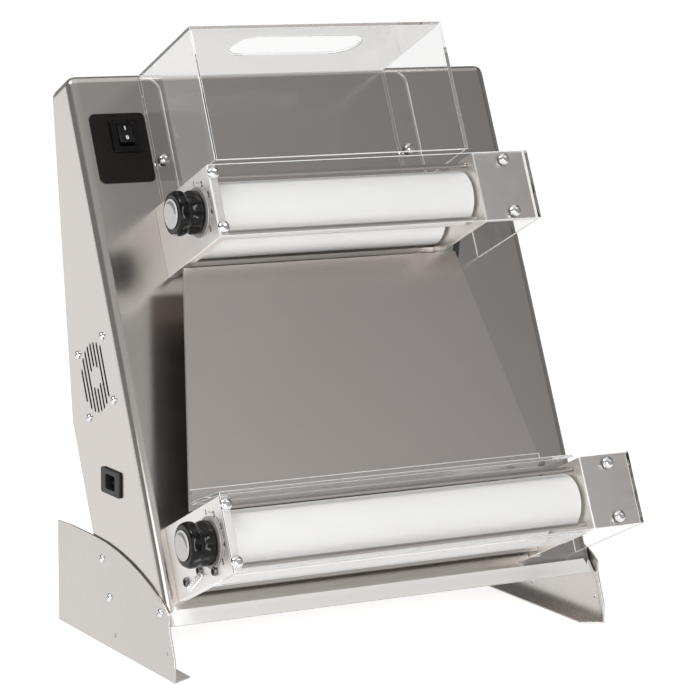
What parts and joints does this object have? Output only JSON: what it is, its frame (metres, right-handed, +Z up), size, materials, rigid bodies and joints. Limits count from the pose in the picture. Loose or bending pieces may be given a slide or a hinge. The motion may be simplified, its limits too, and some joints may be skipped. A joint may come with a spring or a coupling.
{
  "type": "dough sheeter",
  "caption": "Table-top dough sheeter with a leaning stainless body, two adjustable roller pairs, a chute between them and a clear feed hood.",
  "frame": {"origin": "centre of the bounding box on the table the feet stand on", "axes": "+X to the right seen from the front, -Y out of the front where the rollers are, +Z up"},
  "size_m": [0.553, 0.4168, 0.672],
  "materials": {
    "stainless": "brushed",
    "chrome_screws": "polished",
    "steel": "turned",
    "cast_aluminium": "satin",
    "white_roller": "smooth satin",
    "black_plastic": "glossy",
    "belt_rubber": "matt",
    "clear_sheet": "clear glossy",
    "grey_plastic": "satin",
    "bronze": "machined",
    "gear_nylon": "satin"
  },
  "bodies": {
    "frame": {"front_shell": "stainless", "rear_cover": "stainless", "base_cover": "stainless", "left_foot": "stainless", "right_foot": "stainless", "dough_slide": "stainless", "upper_left_plate": "stainless", "lower_left_plate": "stainless", "upper_right_bracket": "stainless", "lower_right_bracket": "stainless", "left_foot_screw_1": "chrome_screws", "left_foot_screw_2": "chrome_screws", "left_foot_screw_3": "chrome_screws", "right_foot_screw_1": "chrome_screws", "right_foot_screw_2": "chrome_screws", "right_foot_screw_3": "chrome_screws", "upper_top_tie_rod": "steel", "upper_bottom_tie_rod": "steel", "upper_scraper": "steel", "lower_top_tie_rod": "steel", "lower_bottom_tie_rod": "steel", "lower_scraper": "steel", "gearmotor": "cast_aluminium", "switch_housing": "black_plastic", "power_inlet": "black_plastic", "fan_frame": "black_plastic", "upper_belt": "belt_rubber", "lower_belt": "belt_rubber", "upper_hood": "clear_sheet", "upper_roller_guard": "clear_sheet", "lower_roller_guard": "clear_sheet", "upper_dial": "grey_plastic", "lower_dial": "grey_plastic", "control_panel": "grey_plastic"},
    "drive": {"drive_shaft": "steel"},
    "fan": {"fan_impeller": "black_plastic"},
    "rocker": {"switch_rocker": "black_plastic"},
    "upper_rear_roller": {"upper_rear_roller": "white_roller", "upper_rear_shaft": "steel", "upper_rear_gear": "gear_nylon"},
    "upper_carriage": {"upper_left_block": "bronze", "upper_right_block": "bronze"},
    "upper_front_roller": {"upper_front_roller": "white_roller", "upper_front_shaft": "steel", "upper_front_gear": "gear_nylon"},
    "upper_knob": {"upper_knob": "black_plastic", "upper_knob_cap": "grey_plastic", "upper_cam": "steel"},
    "lower_rear_roller": {"lower_rear_roller": "white_roller", "lower_rear_shaft": "steel", "lower_rear_gear": "gear_nylon"},
    "lower_carriage": {"lower_left_block": "bronze", "lower_right_block": "bronze"},
    "lower_front_roller": {"lower_front_roller": "white_roller", "lower_front_shaft": "steel", "lower_front_gear": "gear_nylon"},
    "lower_knob": {"lower_knob": "black_plastic", "lower_knob_cap": "grey_plastic", "lower_cam": "steel"}
  },
  "joints": [
    {"name": "lower_rear_roller_spin", "type": "hinge", "parent": "frame", "child": "lower_rear_roller", "pos_m": [0.00653, -0.09418, 0.13146], "axis": [1, 0, 0], "continuous": true},
    {"name": "upper_rear_roller_spin", "type": "hinge", "parent": "frame", "child": "upper_rear_roller", "pos_m": [0.00653, 0.05098, 0.45147], "axis": [1, 0, 0], "continuous": true},
    {"name": "lower_gap_slide", "type": "slide", "parent": "frame", "child": "lower_carriage", "axis": [0, 0.9107, -0.4131], "range_m": [0, 0.004]},
    {"name": "upper_gap_slide", "type": "slide", "parent": "frame", "child": "upper_carriage", "axis": [0, 0.9107, -0.4131], "range_m": [0, 0.004]},
    {"name": "lower_front_roller_spin", "type": "hinge", "parent": "lower_carriage", "child": "lower_front_roller", "pos_m": [0.00653, -0.15383, 0.15852], "axis": [1, 0, 0], "continuous": true},
    {"name": "upper_front_roller_spin", "type": "hinge", "parent": "upper_carriage", "child": "upper_front_roller", "pos_m": [0.00653, -0.00867, 0.47853], "axis": [1, 0, 0], "continuous": true},
    {"name": "lower_knob_turn", "type": "hinge", "parent": "frame", "child": "lower_knob", "pos_m": [0.00653, -0.15383, 0.15852], "axis": [1, 0, 0], "range_deg": [0, 160]},
    {"name": "upper_knob_turn", "type": "hinge", "parent": "frame", "child": "upper_knob", "pos_m": [0.00653, -0.00867, 0.47853], "axis": [1, 0, 0], "range_deg": [0, 160]},
    {"name": "drive_shaft_spin", "type": "hinge", "parent": "frame", "child": "drive", "pos_m": [0.00653, 0.08021, 0.24358], "axis": [1, 0, 0], "continuous": true},
    {"name": "fan_spin", "type": "hinge", "parent": "frame", "child": "fan", "pos_m": [-0.24347, 0.09759, 0.2928], "axis": [1, 0, 0], "continuous": true},
    {"name": "switch_rocker_tilt", "type": "hinge", "parent": "frame", "child": "rocker", "pos_m": [-0.20447, 0.13555, 0.54955], "axis": [1, 0, 0], "range_deg": [0, 20]}
  ],
  "couplings": [
    {"joint": "lower_front_roller_spin", "follows": "lower_rear_roller_spin", "ratio": -1},
    {"joint": "upper_rear_roller_spin", "follows": "lower_rear_roller_spin", "ratio": 1},
    {"joint": "upper_front_roller_spin", "follows": "lower_rear_roller_spin", "ratio": -1},
    {"joint": "drive_shaft_spin", "follows": "lower_rear_roller_spin", "ratio": 1.3481},
    {"joint": "lower_knob_turn", "follows": "lower_gap_slide", "rad_per_m": 698.1},
    {"joint": "upper_knob_turn", "follows": "upper_gap_slide", "rad_per_m": 698.1}
  ]
}
